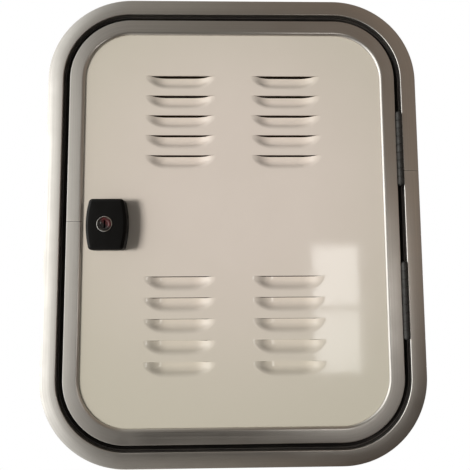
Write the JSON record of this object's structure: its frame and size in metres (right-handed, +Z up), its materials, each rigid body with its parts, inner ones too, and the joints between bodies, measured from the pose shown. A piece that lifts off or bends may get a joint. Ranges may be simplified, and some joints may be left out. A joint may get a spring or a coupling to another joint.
{
  "type": "gas locker door",
  "caption": "Louvred metal service door with rounded corners, hinged in a flanged aluminium wall frame, with a black cam lock and a rubber rebate seal.",
  "frame": {"origin": "on the back of the wall frame's flange, which is the wall's surface, in the middle of the bottom run", "axes": "+X to the right as seen from outside, towards the hinges; +Y into the wall; +Z up"},
  "size_m": [0.3812, 0.0422, 0.4742],
  "materials": {
    "frame_aluminium": "satin, finely brushed along the extrusion",
    "panel_enamel": "warm white gloss enamel",
    "seal_rubber": "matte black rubber",
    "hinge_black": "black coated steel, semi-gloss",
    "lock_plastic": "black moulded plastic, fine grain",
    "lock_chrome": "bright chrome",
    "plug_dark": "dark lock plug",
    "zinc_steel": "zinc plated steel"
  },
  "bodies": {
    "wall_frame": {"outer_frame": "frame_aluminium", "frame_joint_plate": "zinc_steel", "frame_joint_rivet_1": "zinc_steel", "frame_joint_rivet_2": "zinc_steel", "rebate_seal": "seal_rubber", "hinge_upper_frame_leaf": "hinge_black", "hinge_upper_frame_rivet_1": "hinge_black", "hinge_upper_frame_rivet_2": "hinge_black", "hinge_upper_frame_rivet_3": "hinge_black", "hinge_upper_pin": "hinge_black", "hinge_lower_frame_leaf": "hinge_black", "hinge_lower_frame_rivet_1": "hinge_black", "hinge_lower_frame_rivet_2": "hinge_black", "hinge_lower_frame_rivet_3": "hinge_black", "hinge_lower_pin": "hinge_black"},
    "door": {"door_frame": "frame_aluminium", "door_joint_plate": "zinc_steel", "door_joint_rivet_1": "zinc_steel", "door_joint_rivet_2": "zinc_steel", "door_panel": "panel_enamel", "hinge_upper_door_leaf": "hinge_black", "hinge_upper_door_rivet_1": "hinge_black", "hinge_upper_door_rivet_2": "hinge_black", "hinge_upper_door_rivet_3": "hinge_black", "hinge_lower_door_leaf": "hinge_black", "hinge_lower_door_rivet_1": "hinge_black", "hinge_lower_door_rivet_2": "hinge_black", "hinge_lower_door_rivet_3": "hinge_black", "lock_housing": "lock_plastic", "lock_sleeve": "lock_chrome", "lock_washer": "zinc_steel", "lock_nut": "zinc_steel"},
    "lock_turning": {"lock_plug": "plug_dark", "lock_cam": "zinc_steel", "cam_washer": "zinc_steel", "cam_screw": "zinc_steel"}
  },
  "joints": [
    {"name": "door_swing", "type": "hinge", "parent": "wall_frame", "child": "door", "pos_m": [0.17105, -0.0031, 0.229], "axis": [0, 0, 1], "range_deg": [0, 170]},
    {"name": "lock_turn", "type": "hinge", "parent": "door", "child": "lock_turning", "pos_m": [-0.1267, 0, 0.228], "axis": [0, 1, 0], "range_deg": [0, 90]}
  ]
}
